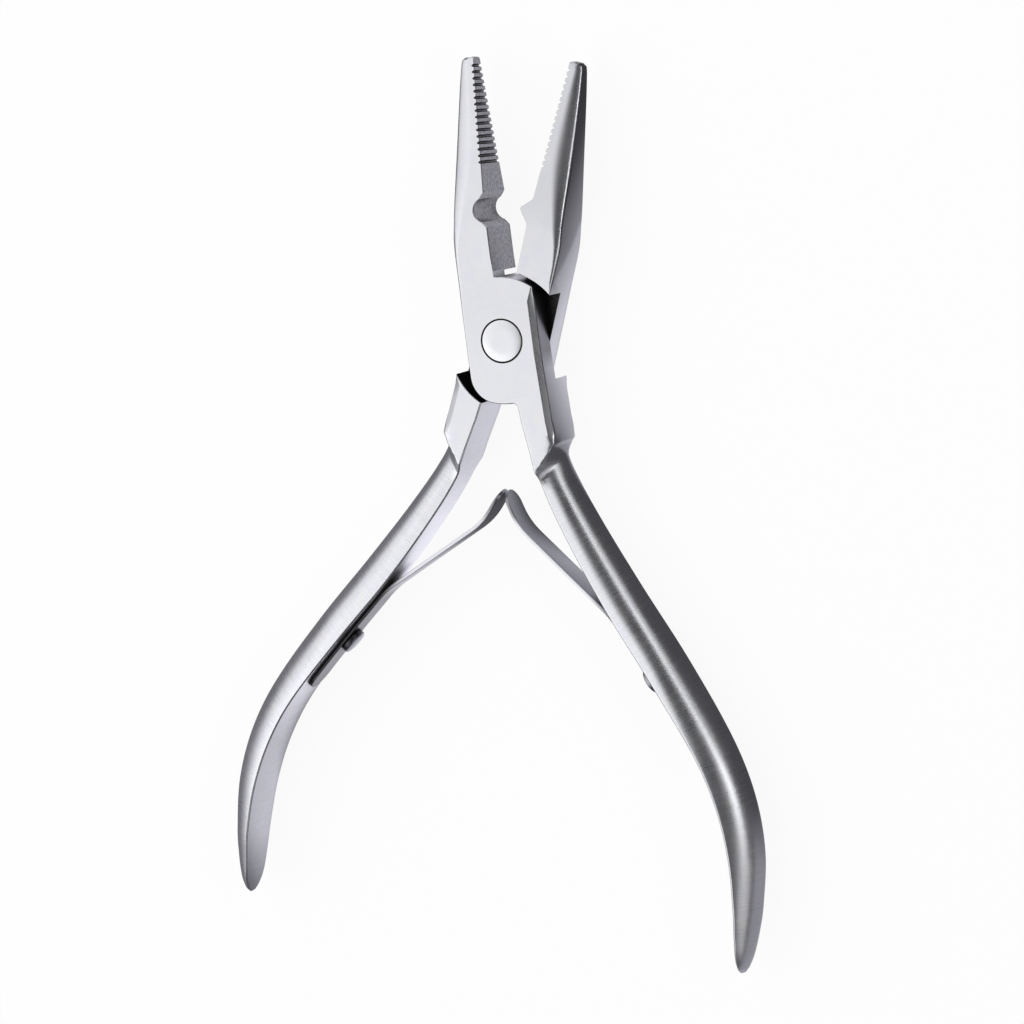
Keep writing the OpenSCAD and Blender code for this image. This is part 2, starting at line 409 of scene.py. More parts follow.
def jaw_section(y, grip):
    """Closed outline of the jaw across its length, from the outer wall over the front to the back."""
    h, wide = jaw_half_t(y), jaw_width(y)
    across, down = curve(EDGE_ROWS, y, 1), curve(EDGE_ROWS, y, 2)
    ground = step(y, JAW_FOOT, 19)
    trim = GRIP_CHAMFER * step(y, JAW_FOOT, 13)
    outer = [(i * across - wide, h - d * down) for i, d in edge_steps(GROUND_EDGE, ground)]
    inner_x = grip - trim
    flat = [(mix(outer[0][0], inner_x, k / 4), h) for k in (1, 2, 3)]
    inner = [(inner_x, h), (grip - 0.3 * trim, h - 0.3 * trim), (grip, h - trim)]
    front = outer[::-1] + flat + inner
    back = [(x, -z) for x, z in front[::-1]]
    side = [mix(LAP, down - h, k) for k in SIDE_ROWS[::-1]]
    side += [LAP]
    side += [mix(LAP, h - down, k) for k in SIDE_ROWS]
    return [(x, y, z) for x, z in front + [(grip, LAP)] + back + [(-wide, z) for z in side]]


def jaw_side_reflection(x, y, z_up):
    """How much painted dark reflection the jaw's outer side carries: from the tip down to a slanting line near
    its foot.

    z_up is the height above the lap once the half lies in its place.
    """
    on_edge = 1 if z_up < 0 else 0.06
    if x > on_edge * curve(EDGE_ROWS, y, 1) - jaw_width(y):
        return 0.0
    return JAW_SIDE_REFLECTION * step(y + REFLECTION_SLANT * z_up, 14.0, 16.2)


# Plate and shoulder ---------------------------------------------------------------------------

SHOULDER_W = 5.85   # half width of the shoulder's outer line at the pivot's level
SHOULDER_SLOPE = 0.03526
SIDE_EDGE = 1.0     # how far the bevel of the plate's and shoulder's right edges reaches across
SIDE_DROP = 0.68    # and how far down
THIN_EDGE = 0.28    # roundness of their left edges
SEAT_EDGE = 0.1     # roundness of the arcs beside the plates
ARC_EDGE = 0.15     # roundness of the plate's end
BEVEL_TOP = 7.5     # where the bevel ends and the plate's round end starts
SHADED_FROM = -5    # the plate's right wall carries painted shade from here up: on its lap, and under its bevel
# Painted shade on the lap and under the bevel, for the half that lies on top and for the other.
FRONT_SHADES = (0.75, 0.5)
REAR_SHADES = (0.2, 0.0)


def shoulder_out(y):
    """Outer edge of the shoulder, beside the plate and below it."""
    return max(PLATE_W, SHOULDER_W - SHOULDER_SLOPE * y)


def shoulder_in(y):
    """Inner edge of the shoulder."""
    return mix(1.15, 1.6, (-10.4 - y) / 4.6)


def meet(inside, a, b):
    """The place between a, which is inside, and b, where the test changes."""
    for _ in range(40):
        m = (a + b) / 2
        a, b = (m, b) if inside(m) else (a, m)
    return a


def in_recess(p):
    return (p - Vector(RECESS_AT)).length < RECESS_R


def angle_of(p):
    return math.degrees(math.atan2(p.y, p.x))


def plate_edges():
    """The plate's and shoulder's left edge, going down, and right edge, going up."""
    corner_x = CORNER_R - PLATE_W
    corner_at = Vector((corner_x, -math.sqrt((LAP_R - CORNER_R) ** 2 - corner_x ** 2)))
    turn = angle_of(corner_at) % 360
    fillet_at = Vector((NECK_FILLET_X, -LAP_R - NECK_FILLET))
    low = angle_of(Vector((fillet_at.x, -LAP_R))) % 360

    def on_fillet(a):
        return arc(fillet_at, NECK_FILLET, a, a, 1)[0]

    seat_end = Vector((-PLATE_W, math.sqrt(SEAT_R ** 2 - PLATE_W ** 2)))
    fillet_cut = on_fillet(meet(lambda a: in_recess(on_fillet(a)), 60.0, 0.0))
    left = [Vector((-jaw_width(JAW_FOOT), JAW_FOOT)), seat_end]
    left += [Vector((-PLATE_W, y)) for y in (6, 3, 0, -2.5)]
    left += arc(corner_at, CORNER_R, 180, turn, 18)
    left += arc((0, 0), LAP_R, turn, low, 10)[1:]
    left += sorted(arc(fillet_at, NECK_FILLET, 90, 0, 8)[1:] + [fillet_cut], key=lambda p: -p.y)
    left += [Vector((shoulder_in(y), y)) for y in (-11.2, -12.2, HANDLE_HEAD)]

    cut_y = meet(lambda y: in_recess(Vector((shoulder_out(y), y))), 0.0, HANDLE_HEAD)
    plate_top = Vector((PLATE_W, math.sqrt(LAP_R ** 2 - PLATE_W ** 2)))
    right_ys = (HANDLE_HEAD, -12.2, -10.5, -8.5, cut_y, -5, -2.27, 0, 3, 5.5)
    right = [Vector((shoulder_out(y), y)) for y in right_ys]
    right += arc((0, 0), LAP_R, angle_of(plate_top), 90, 14)
    right += [Vector((0, SEAT_R)), Vector((0, JAW_FOOT))]
    return left, right, seat_end, fillet_cut, right[right_ys.index(cut_y)]


def inward(points):
    """Direction into the outline at each point of an open chain, with level directions at its ends."""
    found = []
    for i in range(len(points)):
        sides = []
        for a, b in zip(points[max(i - 1, 0):i + 1], points[max(i, 1):i + 2]):
            d = (b - a).normalized()
            sides.append(Vector((-d.y, d.x)))
        mean = sum(sides, Vector((0, 0))).normalized()
        found.append(mean / max(mean.dot(sides[0]), 0.5))
    for i in (0, -1):
        found[i] = Vector((math.copysign(1, found[i].x), 0))
    return found


def edge_strips(shell, chain, sizes, side):
    """A shaped edge along a chain of points: its line on the flat face and its line on the wall."""
    loops = [[] for _ in range(ROUND + 1)]
    for p, n, (across, drop, shape) in zip(chain, inward(chain), sizes):
        for loop, (inset, down) in zip(loops, edge_steps(shape)):
            reach = inset * across
            loop.append((p.x + n.x * reach, p.y + n.y * reach, side * (HALF_T - down * drop)))
    shell.skin(loops, closed=False)
    return loops[0], loops[-1]


def even(size):
    """A round edge, as far across as down."""
    return size, size, ROUND_EDGE


def wall(shell, top, skip=(), raw_and_shade=()):
    """Upright faces from an edge to the lap; the listed ones get a raw finish painted dark as shade."""
    for i, (a, b) in enumerate(zip(top, top[1:])):
        if i not in skip:
            shell.face([a, b, (b[0], b[1], LAP), (a[0], a[1], LAP)], 1.0 if i in raw_and_shade else 0.0)


def joint_block(shell, jaw_ring, handle_ring_points, up):
    """The plate and the shoulder, between the jaw's first section and the handle's first ring."""
    left, right, seat_end, fillet_cut, recess_end = plate_edges()
    foot = curve(EDGE_ROWS, JAW_FOOT, 1)

    def flat_part(ring, z, rising):
        part = [p for p in ring if abs(p[2] - z) < SAME]
        return sorted(part, key=lambda p: p[0] if rising else -p[0])

    # Front face: down the left edge, across the handle's head, up the right edge and back.
    left_sizes = [even(mix(THIN_EDGE, foot, step(p.y, 3, JAW_FOOT))) for p in left]
    wide_edge = (SIDE_EDGE, SIDE_DROP, BEVEL_EDGE)
    right_sizes = [wide_edge if p.y < BEVEL_TOP else even(ARC_EDGE) for p in right]
    right_sizes[-3:] = [even(0)] * 3
    # Painted shade on the plate's right wall, heavier on the half that lies on top.
    at_lap, at_bevel = FRONT_SHADES if up > 0 else REAR_SHADES
    for p in right:
        if p.y > SHADED_FROM:
            shell.corner((p.x, p.y, LAP), None, at_lap)
            shell.corner((p.x, p.y, HALF_T - SIDE_DROP), None, at_bevel)
    left_flat, left_top = edge_strips(shell, left, left_sizes, 1)
    right_flat, right_top = edge_strips(shell, right, right_sizes, 1)
    shell.face(
        left_flat + flat_part(handle_ring_points, HALF_T, True)
        + right_flat + flat_part(jaw_ring, HALF_T, False)
    )
    wall(shell, left_top[:-1], skip=(0,))
    wall(shell, right_top[1:])

    def foot_wall(top, z_from, z_to):
        """The first stretch of the left wall, which meets the jaw's first section."""
        column = [p for p in jaw_ring if abs(p[0] - top[0][0]) < SAME and z_from <= p[2] <= z_to]
        b = top[1]
        far = [b, (b[0], b[1], LAP)]
        shell.face(sorted(column, key=lambda p: p[2]) + (far if z_to > LAP else far[::-1]))

    foot_wall(left_top, LAP, HALF_T)

    # Back of the shoulder: up the right edge, along the recess and down the left edge.
    at = left.index(fillet_cut)
    start, end = fillet_cut - Vector(RECESS_AT), recess_end - Vector(RECESS_AT)
    recess = arc(RECESS_AT, RECESS_R, angle_of(start), angle_of(end), 16)
    recess[0], recess[-1] = fillet_cut, recess_end
    upto = right.index(recess_end)
    chain = right[:upto + 1] + recess[-2:0:-1] + left[at:]
    sizes = [wide_edge] * upto
    sizes += [even(SEAT_EDGE)] * len(recess)
    sizes += [even(THIN_EDGE)] * (len(left) - at - 1)
    flat, low = edge_strips(shell, chain, sizes, -1)
    shell.face(flat + flat_part(handle_ring_points, -HALF_T, True))
    # The walls in the gap get a raw finish painted dark as shade.
    in_gap = range(upto, upto + len(recess) - 1)
    wall(shell, low, skip=(0, len(low) - 2), raw_and_shade=in_gap)

    # The last stretch of each side wall, which meets the handle's first ring.
    for edge_top, near, far, edge_low in (
        (left_top, -2, -1, low[-2:]), (right_top, 1, 0, low[1::-1]),
    ):
        x = edge_top[far][0]
        side = sorted((p for p in handle_ring_points if abs(p[0] - x) < SAME), key=lambda p: p[2])
        a = edge_top[near]
        shell.face([a, (a[0], a[1], LAP), edge_low[0]] + side)

    # Back of the jaw's foot: down the left edge and along the seat.
    seat = arc((0, 0), SEAT_R, angle_of(seat_end), 90, 14)
    chain = [left[0], seat_end] + seat[1:] + [right[-1]]
    sizes = [even(foot)] + [even(SEAT_EDGE)] * (len(chain) - 3) + [even(0)] * 2
    flat, low = edge_strips(shell, chain, sizes, -1)
    shell.face(flat + flat_part(jaw_ring, -HALF_T, False))
    # The seat's walls get a raw finish painted dark as shade.
    wall(shell, low, skip=(0,), raw_and_shade=range(1, len(low)))
    foot_wall(low, -HALF_T, LAP)

    # The lap face between the seat, the plate's edges and the recess, with a raw finish painted dark as shade.
    lap = left[1:at] + recess + right[upto + 1:-1] + seat[-2:0:-1]
    shell.face([(p.x, p.y, LAP) for p in lap], 1.0)


# Handle ---------------------------------------------------------------------------------------

PALM_ROWS = 5       # corners up the palm face
TOP_ROWS = 8        # corners across the top of the shoulder
BACK_ROWS = 30      # corners from there round the back
SHOULDER_END = -16.5
TONGUE_END = -20.7  # where the shoulder's flat face has run out
TONGUE_W = 0.4      # its width there
CREST_FALL = 2.4    # how far across the flat face falls to the rounded back
LEAN = 0.5          # how far the crest moves to the palm side at the handle's end, of its depth
LEVEL = 1.2         # how far it moves away from it below the neck
STATION_GAP = 0.2   # distance between rings at the neck
STATION_GAPS = 45
WIDEST_GAP = 0.9    # distance between rings further down


def tongue_reach(y):
    """How far the shoulder's flat face reaches across, from the palm side, as it runs out."""
    if y > SHOULDER_END:
        return shoulder_out(y) - shoulder_in(y)
    whole = shoulder_out(SHOULDER_END) - shoulder_in(SHOULDER_END)
    return mix(whole, TONGUE_W, (SHOULDER_END - y) / (SHOULDER_END - TONGUE_END))


def handle_ring(y):
    """Closed outline of the handle across its length.

    Each step runs over a stretch of the distance down from the pivot.
    """
    table_y = min(y, HANDLE_ROWS[-1][0])
    neck = min(max((HANDLE_HEAD - y) / 5, 0), 1)
    palm = Vector((mix(shoulder_in(y), curve(HANDLE_ROWS, table_y, 1), neck), y))
    out = mix(Vector((1, 0)), face_out(table_y), step(-y, 13.5, 22)).normalized()
    deep = curve(HANDLE_ROWS, table_y, 2)
    wide = min(curve(HANDLE_ROWS, table_y, 3), HALF_T)
    gathered = 1 - step(-y, 21, 27)
    block = 1 - step(-y, 14.2, 17.2)
    reach = tongue_reach(y)
    furthest = max(deep, reach)
    edge = min(THIN_EDGE, 0.3 * deep)
    lean = LEAN * deep * step(-y, 60, 84)
    level = LEVEL * step(-y, 20, 24) * (1 - step(-y, 50, 66))

    def crest(x):
        """Height of the forging, x in from the palm face."""
        whole = deep + lean - level
        start = lean / whole
        at = max(x + lean - level, lean) / whole
        back = wide * math.sqrt(max(1 - at ** 2, 0.0) / (1 - start ** 2))
        flat = HALF_T * max(1 - (x / furthest) ** 10, 0.0) ** 0.1
        soft = 0.5
        run = max(x - reach + soft, 0.0)
        fall = min((run - soft ** 2 if run > soft else run ** 2) / CREST_FALL, 1.0)
        return mix(back, flat, (1 - fall) ** 2)

    rim, side_rim = edge_steps(), edge_steps(BEVEL_EDGE)
    top = mix(crest(edge), HALF_T, block)
    up = [(0.0, (top - edge) * k / PALM_ROWS) for k in range(PALM_ROWS)]
    up += [(inset * edge, top - down * edge) for inset, down in rim[::-1]]
    tip_x = mix(0.45 * deep, max(reach - SIDE_EDGE, 1.2 * edge), gathered)
    for k in range(1, TOP_ROWS + 1):
        x = mix(edge, tip_x, k / TOP_ROWS)
        up.append((x, mix(crest(x), HALF_T, block)))
    first_turn = math.asin(min(tip_x / furthest, 1.0))
    for k in range(1, BACK_ROWS + 1):
        x = furthest * math.sin(mix(first_turn, math.pi / 2, k / BACK_ROWS))
        inset, down = side_rim[min(k, ROUND)]
        fall = (BACK_ROWS - k) / (BACK_ROWS - ROUND)
        hard_z = HALF_T - down * SIDE_DROP if k <= ROUND else (HALF_T - SIDE_DROP) * fall
        up.append((mix(x, reach - inset * SIDE_EDGE, block), mix(crest(x), hard_z, block)))
    up[-1] = (up[-1][0], 0.0)
    full = up + [(x, -z) for x, z in up[-2:0:-1]]
    return [(palm.x + out.x * x, palm.y + out.y * x, z) for x, z in full]


def handle_stations():
    """Places of the handle's rings, closer together at the neck and at the end."""
    end = HANDLE_ROWS[0][0]
    places = [HANDLE_HEAD - STATION_GAP * i for i in range(STATION_GAPS + 1)]
    while places[-1] > end + 0.02:
        gap = min(WIDEST_GAP, 0.08 + 0.25 * (places[-1] - end))
        places.append(max(places[-1] - gap, end))
    return places


# The pieces -----------------------------------------------------------------------------------

RIVET_STEPS = 96    # faces round the pivot rivet and its bore
RIVET_RING = 1.6    # radius of a ring of corners on the rivet's flat ends
STUD_STEPS = 64
# Painted shade on a leaf's tip and on its faces, of 1.
LEAF_TIP_SHADE = 0.6
LEAF_FACE_SHADE = 0.68


def forging(name, nested, up, place):
    """One half as a single skin: jaw, plate, shoulder and handle, with the rivet's bore.

    up is 1 for the half whose plate lies on top, and -1 for the other.
    """
    shell = Shell()
    sections = [jaw_section(y, grip) for y, grip in grip_line(nested)]
    grip_column = ROUND + 6
    for section, (y, grip) in zip(sections, grip_line(nested)):
        in_groove = y > GROOVE_Y - 1 and -1.1 * GROOVE_D < grip < -0.5 * GROOVE_D
        for i, p in enumerate(section):
            # Painted shade in the grooves' bottoms, and a painted dark reflection on the jaw's outer side.
            groove_shade = DEEPEST_SHADE if in_groove and abs(i - grip_column) < 2 else 0.0
            shell.corner(p, None, max(groove_shade, jaw_side_reflection(p[0], p[1], up * p[2])))
    # The grip face gets a raw finish, painted dark as shade.
    shell.skin(sections, raw_and_shade={grip_column: GRIP_RAW_SHADE, grip_column + 1: GRIP_RAW_SHADE})
    shell.face(sections[-1])
    stations = handle_stations()
    rings = [handle_ring(y) for y in stations]
    length = 0.0
    for i, ring in enumerate(rings):
        if i:
            length += (Vector(ring[0]) - Vector(rings[i - 1][0])).length
        for p in ring:
            shell.corner(p, (p[0], HANDLE_HEAD - length, p[2]))
    shell.skin(rings)
    shell.face(rings[-1])
    joint_block(shell, sections[0], rings[0], up)
    mouth_r = BORE_R + BORE_CHAMFER
    past = 2 * HALF_T
    profile = [(0, -past), (BORE_R, -past), (BORE_R, HALF_T - 0.1)]
    profile += [(mouth_r, HALF_T + 0.02), (mouth_r, past), (0, past)]
    # The bore's wall gets a raw finish painted dark as shade: a dark ring round the rivet.
    bore = turned(profile, RIVET_STEPS, raw_and_shade=1.0)
    return cut(shell.mesh(name, place), bore.mesh("bore", place))


def leaf_path():
    """Middle line of a leaf spring: points, each with its distance from the tail and from the tip."""

    def on_handle(y):
        return face_at(y) - LEAF_OFF * face_out(y)

    def rounded(a, b, c, reach, steps=10):
        """The bend at b on the way from a to c."""
        p, q = b + (a - b).normalized() * reach, b + (c - b).normalized() * reach
        shares = [k / steps for k in range(steps + 1)]
        return [(1 - t) ** 2 * p + 2 * t * (1 - t) * b + t * t * q for t in shares]

    leave = on_handle(LEAF_LEAVE_Y)
    count = 16
    path = [on_handle(mix(LEAF_TAIL_Y, LEAF_LEAVE_Y - 3, k / count)) for k in range(count + 1)]
    path += rounded(on_handle(LEAF_LEAVE_Y - 4), leave, LEAF_BEND, 2)
    path += rounded(leave, LEAF_BEND, LEAF_TIP, 2.4)
    path.append(LEAF_TIP)
    total = [0.0]
    for a, b in zip(path, path[1:]):
        total.append(total[-1] + (b - a).length)
    # Sections are close together where the ends are round, and evenly spaced between them.
    ends = [0, 0.04, 0.15, 0.35, 0.65, 1.05, 1.6, 2.1]
    first, gap = 2.6, 0.6
    places = ends + [first + gap * k for k in range(int((total[-1] - 2 * first) / gap))]
    places += [total[-1] - s for s in ends[::-1]]
    found, i = [], 0
    for s in places:
        while i < len(path) - 2 and total[i + 1] < s:
            i += 1
        share = (s - total[i]) / (total[i + 1] - total[i])
        found.append((path[i].lerp(path[i + 1], share), s, total[-1] - s))
    return found


def leaf(name, place):
    """Leaf spring: a strip with round ends and dull edges."""
    path = leaf_path()
    shell = Shell()
    rings = []
    r = LEAF_W / 2
    for i, (p, from_tail, from_tip) in enumerate(path):
        along = (path[min(i + 1, len(path) - 1)][0] - path[max(i - 1, 0)][0]).normalized()
        side = Vector((-along.y, along.x))
        near = min(from_tail, from_tip, r)
        w = max(math.sqrt(r * r - (r - near) ** 2), 0.12)
        t = LEAF_T / 2
        c = min(0.1, 0.5 * w)
        half = [(c - t, w), (t - c, w), (t - 0.3 * c, w - 0.3 * c), (t, w - c)]
        shape = half + [(x, -z) for x, z in half[::-1]]
        shape += [(0.3 * c - t, 0.3 * c - w), (-t, c - w), (-t, w - c), (0.3 * c - t, w - 0.3 * c)]
        ring = [(p.x + side.x * x, p.y + side.y * x, z) for x, z in shape]
        for q, (x, z) in zip(ring, shape):
            # Painted shade: full along the tail, where the leaf lies on the handle, and less at the tip and on
            # the faces.
            dark = max(
                1 - step(from_tail, 20, 28),
                LEAF_TIP_SHADE * (1 - step(from_tip, 3.5, 6)),
                LEAF_FACE_SHADE if abs(x) > t - 0.01 else 0,
            )
            shell.corner(q, (x, from_tail, z), dark)
        rings.append(ring)
    shell.skin(rings)
    shell.face(rings[0])
    shell.face(rings[-1])
    return shell.mesh(name, place)


def stud_place():
    """Puts a spring rivet on the palm face, with +Z into the handle."""
    p, n = face_at(STUD_Y), face_out(STUD_Y)
    into, up = Vector((n.x, n.y, 0)), Vector((0, 0, 1))
    side = into.cross(up)
    turn = Matrix((up, side, into)).transposed().to_4x4()
    return Matrix.Translation((p.x, p.y, 0)) @ turn


def spring_rivet(name, place, dark_side):
    """Round-headed rivet of a leaf: its shank, then its head, with painted shade on the head's wall if asked.
    """
    base = LEAF_T + 0.08
    top = base + STUD_HEAD_H
    shank, deep, bevel = STUD_SHANK_R, STUD_SHANK_L, 0.1
    profile = [(0, deep), (shank - bevel, deep), (shank, deep - bevel), (shank, -base)]
    profile += [(STUD_HEAD_R - 0.1, -base), (STUD_HEAD_R, -base - 0.1)]
    profile += rounded_rim(STUD_HEAD_R, -top + 0.05, 0.28, -1)
    profile += [(STUD_HEAD_R - 0.45, -top + 0.02), (shank, -top - 0.02)]
    profile += [(shank / 2, -top - 0.04), (0, -top - 0.05)]
    head_wall = (STUD_HEAD_R - 0.06, -top + 0.2) if dark_side else None
    return turned(profile, STUD_STEPS, dark_past=head_wall).mesh(name, place @ stud_place())


def pivot_rivet(name):
    """Flush rivet, with both ends slightly rounded."""
    rim = rounded_rim(RIVET_R, HALF_T, 0.1, 1, 3)
    upper = rim + [(RIVET_RING, HALF_T), (0, HALF_T)]
    profile = [(r, -z) for r, z in upper[::-1]] + upper
    return turned(profile, RIVET_STEPS).mesh(name, Matrix.Translation((0, 0, HALF_T)))


# Materials ------------------------------------------------------------------------------------

class Nodes:
    """Short way to wire a material's nodes."""

    def __init__(self, name):
        self.material = bpy.data.materials.new(name)
        self.material.use_nodes = True
        self.tree = self.material.node_tree
        self.tree.nodes.clear()

    def link(self, source, socket):
        if isinstance(source, bpy.types.NodeSocket):
            self.tree.links.new(source, socket)
        else:
            socket.default_value = source

    def add(self, kind, inputs=None, **settings):
        node = self.tree.nodes.new(kind)
        for key, value in settings.items():
            setattr(node, key, value)
        for key, value in (inputs or {}).items():
            self.link(value, node.inputs[key])
        return node

    def math(self, operation, a, b=0.0):
        return self.add("ShaderNodeMath", {0: a, 1: b}, operation=operation).outputs[0]

    def ranged(self, value, low, high, to_low, to_high):
        """to_low at low and below, to_high at high and above, and even between them."""
        node = self.add("ShaderNodeMapRange", {0: value, 1: low, 2: high, 3: to_low, 4: to_high})
        return node.outputs[0]

    def blended(self, amount, a, b):
        """Mixes two numbers, or two colours."""
        if isinstance(a, list):
            return self.add("ShaderNodeMixRGB", {0: amount, 1: a, 2: b}).outputs[0]
        return self.add("ShaderNodeMix", {0: amount, 2: a, 3: b}, data_type="FLOAT").outputs[0]

    def noise(self, where, stretch, detail=3.0, rough=0.6):
        """Noise whose cells are 1 mm divided by each part of stretch."""
        scaled = self.add("ShaderNodeVectorMath", {0: where, 1: stretch}, operation="MULTIPLY").outputs[0]
        made = self.add("ShaderNodeTexNoise", {
            "Vector": scaled, "Scale": 1.0, "Detail": detail, "Roughness": rough,
        })
        return made.outputs[0]


GRAIN_HEIGHT = 0.00004      # metres that the bump's height of 1 stands for
HOLLOW_REACH = 0.0016       # metres within which a neighbour paints shade into a corner
SCRATCH_TURN = 0.6          # angle between the scratches and the length of a piece
HANDLE_FROM, HANDLE_FULL = -15.0, -21.0     # where the handles' stronger grain starts, and is full
PLATE_GRAIN = 0.1           # share of the grain on the jaws and plates
DULL_FROM, DULL_FULL = -50.0, -78.0         # where the handles get duller, and are dullest
SHADE_BRIGHTNESS = 0.11              # brightness where the painted shade is 1
RAW_SHADE_BRIGHTNESS = 0.05          # brightness where the finish is raw and painted dark as shade
LOW, HIGH = 0.3, 0.7        # noise mostly lies between these


def steel(name, tint, dull, grain, cross, depth, wear=1.0):
    """Brushed steel: grain, dull and bright patches, fine scratches, painted shade in hollows, bright rims,
    and the mesh's painted shade.

    dull is its roughness, grain and cross stretch the noise along and across it, depth is the bump's
    strength, and wear says how strong the scratches are.
    """
    n = Nodes(name)
    flow = n.add("ShaderNodeAttribute", attribute_name="flow").outputs["Vector"]
    fine = n.noise(flow, grain, 2.0, 0.7)
    wide = n.noise(flow, [g * 0.28 for g in grain], 2.0, 0.6)
    across = n.noise(flow, cross, 2.0, 0.6)
    patch = n.noise(flow, (0.11, 0.06, 0.13), 4.0, 0.62)
    cloud = n.noise(flow, (0.5, 0.4, 0.5), 5.0, 0.65)
    speck = n.noise(flow, (5.0, 5.0, 5.0), 2.0, 0.6)

    turned_flow = n.add("ShaderNodeVectorRotate", {
        "Vector": flow, "Axis": (0, 0, 1), "Angle": SCRATCH_TURN,
    }, rotation_type="AXIS_ANGLE").outputs[0]
    scratch = n.ranged(n.noise(turned_flow, (0.35, 9.0, 0.6), 1.0, 0.5), 0.70, 0.76, 0.0, 1.0)
    scratch = n.math("MULTIPLY", scratch, n.ranged(cloud, 0.5, 0.62, 0.0, 1.0))

    # Painted shade: the colour darkens where neighbours are near, in hollows and corners.
    near = n.add("ShaderNodeAmbientOcclusion", {"Distance": HOLLOW_REACH}, samples=6, only_local=False)
    hollow_shade = n.math("POWER", near.outputs["AO"], 0.9)
    sharp = n.add("ShaderNodeNewGeometry").outputs["Pointiness"]
    rim = n.ranged(sharp, 0.52, 0.6, 0.0, 1.0)

    # Painted shade that the mesh carries, and its raw places, painted dark as shade too.
    dark = n.add("ShaderNodeAttribute", attribute_name="dark").outputs["Fac"]
    raw_and_shade = n.add("ShaderNodeAttribute", attribute_name="raw_and_shade").outputs["Fac"]
    along = n.add("ShaderNodeSeparateXYZ", {0: flow}).outputs["Y"]
    brushed = n.ranged(along, HANDLE_FROM, HANDLE_FULL, PLATE_GRAIN, 1.0)

    # Brightness: grain, patches and specks, then scratches, rims, painted shade in hollows, the mesh's painted
    # shade, and raw places, which are painted dark as shade.
    streak = n.math("ADD", n.math("MULTIPLY", fine, 0.62), n.math("MULTIPLY", wide, 0.38))
    streak = n.math("ADD", n.math("MULTIPLY", n.math("SUBTRACT", streak, 0.5), brushed), 0.5)
    shade = n.ranged(streak, 0.33, 0.67, 0.86, 1.08)
    shade = n.math("MULTIPLY", shade, n.ranged(patch, 0.32, 0.68, 0.955, 1.03))
    shade = n.math("MULTIPLY", shade, n.ranged(speck, LOW, HIGH, 0.985, 1.015))
    shade = n.math("SUBTRACT", shade, n.math("MULTIPLY", scratch, 0.03 * wear))
    shade = n.math("ADD", shade, n.math("MULTIPLY", rim, 0.05))
    shade = n.math("MULTIPLY", shade, n.ranged(hollow_shade, 0.15, 0.95, 0.34, 1.0))
    shade = n.math("MULTIPLY", shade, n.ranged(dark, 0.0, 1.0, 1.0, SHADE_BRIGHTNESS))
    pitted = n.ranged(n.noise(flow, (2.0, 2.0, 2.0), 4.0, 0.75), 0.36, 0.64, 0.5, 1.5)
    raw_place_shade = n.math("MULTIPLY", n.ranged(raw_and_shade, 0.0, 1.0, 1.0, RAW_SHADE_BRIGHTNESS), pitted)
    shade = n.math("MULTIPLY", shade, n.blended(n.math("GREATER_THAN", raw_and_shade, 0.1), 1.0, raw_place_shade))
    cool = [c * k for c, k in zip(tint, (0.965, 0.975, 1.02))] + [1]
    colour = n.blended(n.ranged(cloud, 0.35, 0.65, 0.0, 1.0), list(tint) + [1], cool)
    colour = n.add("ShaderNodeVectorMath", {0: colour, "Scale": shade}, operation="SCALE").outputs[0]

    # Roughness: a little more in dull patches, scratches and hollows, and towards the handles' ends.
    rough = n.ranged(patch, LOW, HIGH, dull - 0.03, dull + 0.04)
    rough = n.math("ADD", rough, n.ranged(streak, LOW, HIGH, -0.03, 0.03))
    rough = n.math("ADD", rough, n.math("MULTIPLY", scratch, 0.06 * wear))
    rough = n.math("ADD", rough, n.ranged(hollow_shade, 0.2, 0.9, 0.2, 0.0))
    rough = n.math("ADD", rough, n.ranged(along, DULL_FROM, DULL_FULL, 0.0, 0.03))

    # Height of the grain, the marks across it, the specks, the pits and the scratches.
    height = n.math("ADD", streak, n.math("MULTIPLY", n.math("MULTIPLY", across, brushed), 0.12))
    height = n.math("ADD", height, n.math("MULTIPLY", n.math("MULTIPLY", speck, brushed), 0.25))
    height = n.math("ADD", height, n.math("MULTIPLY", n.math("MULTIPLY", pitted, raw_and_shade), 1.2))
    height = n.math("SUBTRACT", height, n.math("MULTIPLY", scratch, 0.08 * wear))
    bump = n.add("ShaderNodeBump", {"Height": height, "Strength": depth, "Distance": GRAIN_HEIGHT}).outputs[0]
    surface = n.add("ShaderNodeBsdfPrincipled", {
        "Base Color": colour, "Metallic": 1.0, "Roughness": rough, "Normal": bump,
    })
    out = n.add("ShaderNodeOutputMaterial")
    n.link(surface.outputs[0], out.inputs["Surface"])
    return n.material


forged = steel("forged_steel_satin", (0.80, 0.80, 0.815), 0.27, (0.8, 13.0, 0.8), (4.5, 0.8, 4.0), 0.28, 0.3)
rivet_end = steel("rivet_steel_turned", (0.83, 0.83, 0.84), 0.22, (1.2, 7.0, 1.2), (5.0, 1.0, 5.0), 0.3, 0.6)
stud_steel = steel("rivet_steel_dull", (0.45, 0.45, 0.47), 0.32, (1.2, 7.0, 1.2), (5.0, 1.0, 5.0), 0.5)
strip = steel("spring_steel_rolled", (0.74, 0.74, 0.77), 0.27, (6.5, 0.3, 6.5), (0.6, 4.0, 0.6), 0.35)


# The object -----------------------------------------------------------------------------------

